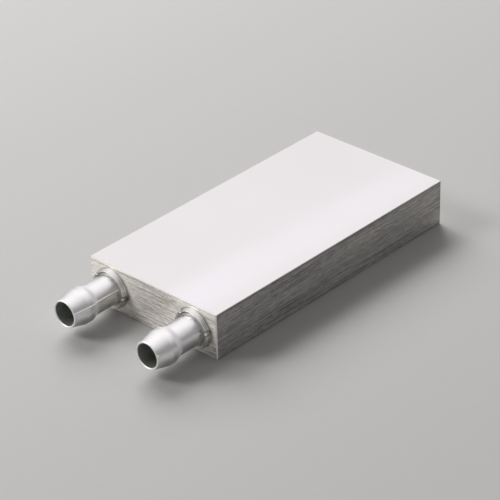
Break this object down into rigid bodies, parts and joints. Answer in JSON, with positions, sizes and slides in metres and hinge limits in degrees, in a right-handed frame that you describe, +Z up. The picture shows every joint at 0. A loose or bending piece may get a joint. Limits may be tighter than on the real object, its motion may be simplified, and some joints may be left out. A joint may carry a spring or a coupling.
{
  "type": "liquid cooling cold plate",
  "caption": "Flat rectangular aluminium plate with toothed coolant channels inside and parallel barbed hose nozzles on one short end; heat enters through its wide faces.",
  "frame": {"origin": "centre of the block's underside", "axes": "+X along the block's length, away from the nozzles; +Y across it; +Z up, out of the top face"},
  "size_m": [0.0953, 0.04, 0.012],
  "materials": {
    "block": "brushed",
    "weld": "ground flush, brushed",
    "nozzle": "satin",
    "collar": "satin",
    "filler": "as cast"
  },
  "bodies": {
    "root": {"body_extrusion": "block", "nozzle_end_plug": "block", "far_end_plug": "block", "nozzle_end_weld": "weld", "far_end_weld": "weld", "inlet_nozzle": "nozzle", "inlet_collar": "collar", "inlet_braze": "filler", "outlet_nozzle": "nozzle", "outlet_collar": "collar", "outlet_braze": "filler"}
  },
  "joints": []
}
